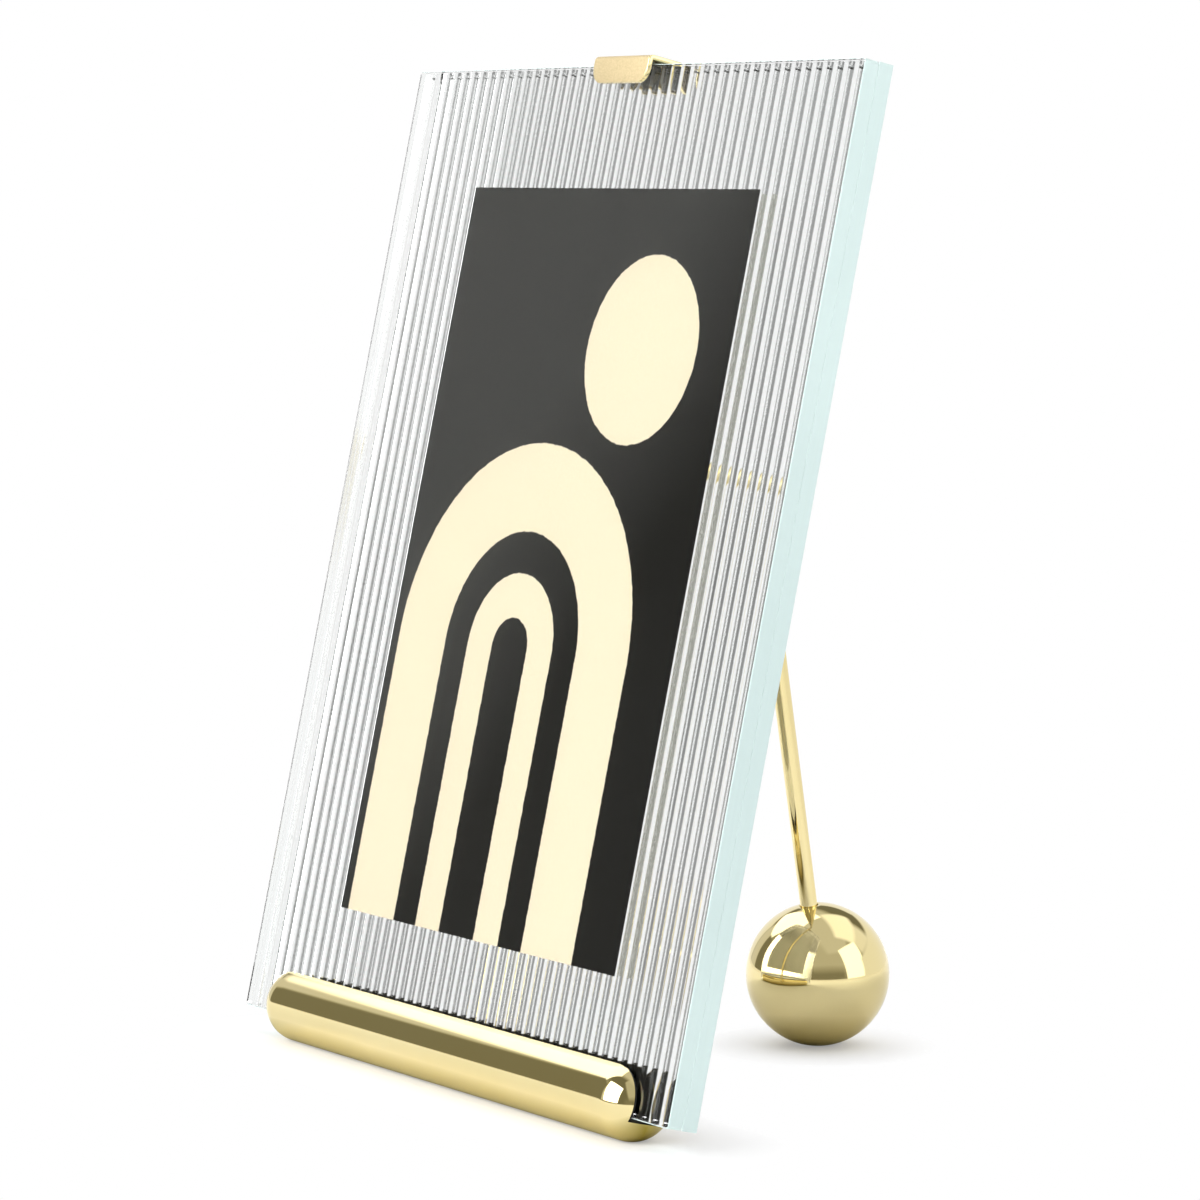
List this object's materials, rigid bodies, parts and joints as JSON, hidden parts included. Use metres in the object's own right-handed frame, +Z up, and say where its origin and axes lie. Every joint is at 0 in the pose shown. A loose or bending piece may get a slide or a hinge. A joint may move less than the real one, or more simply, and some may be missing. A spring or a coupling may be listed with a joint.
{
  "type": "photo frame",
  "caption": "Photo frame with two leaning glass panes, the rear one ribbed, in a slotted round brass bar, with a brass clip on top and a bent rod and ball behind as its stand.",
  "frame": {"origin": "on the table under the middle of the bar, at the centre of the bar's flat foot", "axes": "+X along the bar to the viewer's right, +Y away from the viewer towards the ball, +Z up"},
  "size_m": [0.1584, 0.1109, 0.2047],
  "materials": {
    "polished_brass": "polished",
    "satin_brass": "satin",
    "black_lining": "matte",
    "clear_glass": "polished, ground edges",
    "ribbed_glass": "upright ribs on the front, ground edges",
    "print_paper": "matte print"
  },
  "bodies": {
    "base": {"base_bar": "polished_brass", "slot_front_pad": "black_lining", "slot_rear_pad": "black_lining", "slot_floor_pad": "black_lining", "stand_rod": "polished_brass", "ball_foot": "polished_brass"},
    "rear_pane": {"rear_glass": "ribbed_glass", "photo_print": "print_paper"},
    "front_pane": {"front_glass": "clear_glass"},
    "clip": {"top_clip": "satin_brass", "clip_front_pad": "black_lining", "clip_rear_pad": "black_lining", "clip_top_pad": "black_lining"}
  },
  "joints": [
    {"name": "rear_pane_lift", "type": "slide", "parent": "base", "child": "rear_pane", "axis": [0, 0.2147, 0.9767], "range_m": [0, 0.01]},
    {"name": "front_pane_lift", "type": "slide", "parent": "rear_pane", "child": "front_pane", "axis": [0, 0.2147, 0.9767], "range_m": [0, 0.01]},
    {"name": "clip_lift", "type": "slide", "parent": "front_pane", "child": "clip", "axis": [0, 0.2147, 0.9767], "range_m": [0, 0.006]}
  ]
}
